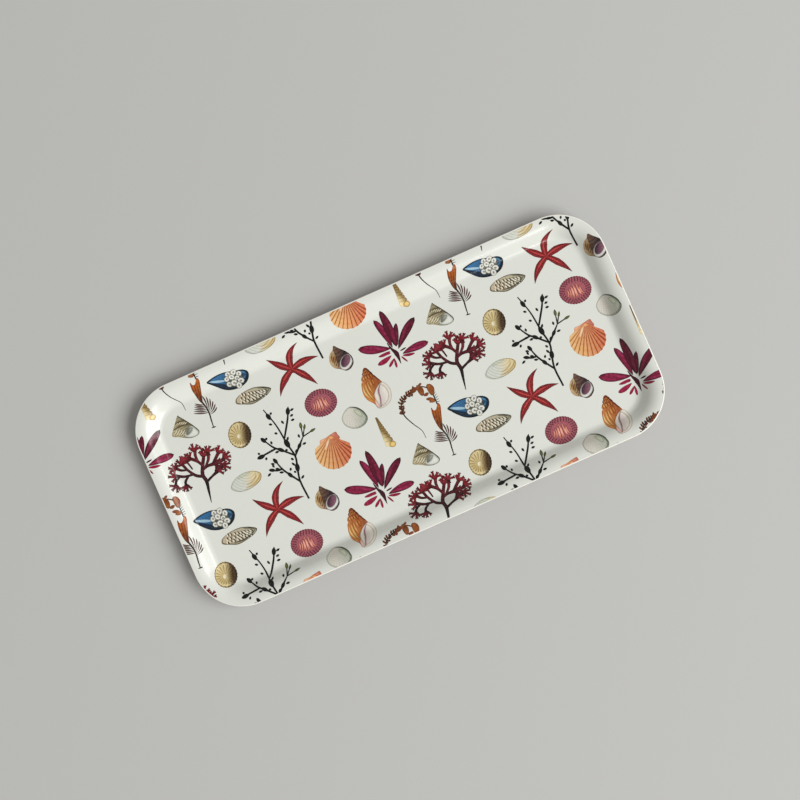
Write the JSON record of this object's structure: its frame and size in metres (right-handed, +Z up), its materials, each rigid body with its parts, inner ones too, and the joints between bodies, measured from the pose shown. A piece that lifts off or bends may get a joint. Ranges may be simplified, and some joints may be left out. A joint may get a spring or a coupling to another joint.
{
  "type": "serving tray",
  "caption": "Small oblong pressed-laminate serving tray with soft flared walls, rounded corners and a glossy seashore print.",
  "frame": {"origin": "middle of the flat underside", "axes": "+X along the tray's length, +Y across it, +Z up out of the dish"},
  "size_m": [0.32, 0.15, 0.01],
  "materials": {
    "overlay": "clear melamine overlay, glossy",
    "printed_face": "pale grey-white printed decor paper",
    "birch_long_grain": "pale birch veneer, grain along the tray, lacquered cut edge",
    "birch_cross_grain": "pale birch veneer, grain across the tray, lacquered cut edge",
    "backing": "plain pale melamine backing, fine matt texture"
  },
  "bodies": {
    "root": {"clear_overlay": "overlay", "decor_paper": "printed_face", "face_veneer": "birch_long_grain", "upper_cross_veneer": "birch_cross_grain", "core_veneer": "birch_long_grain", "lower_cross_veneer": "birch_cross_grain", "back_veneer": "birch_long_grain", "backing_sheet": "backing"}
  },
  "joints": []
}
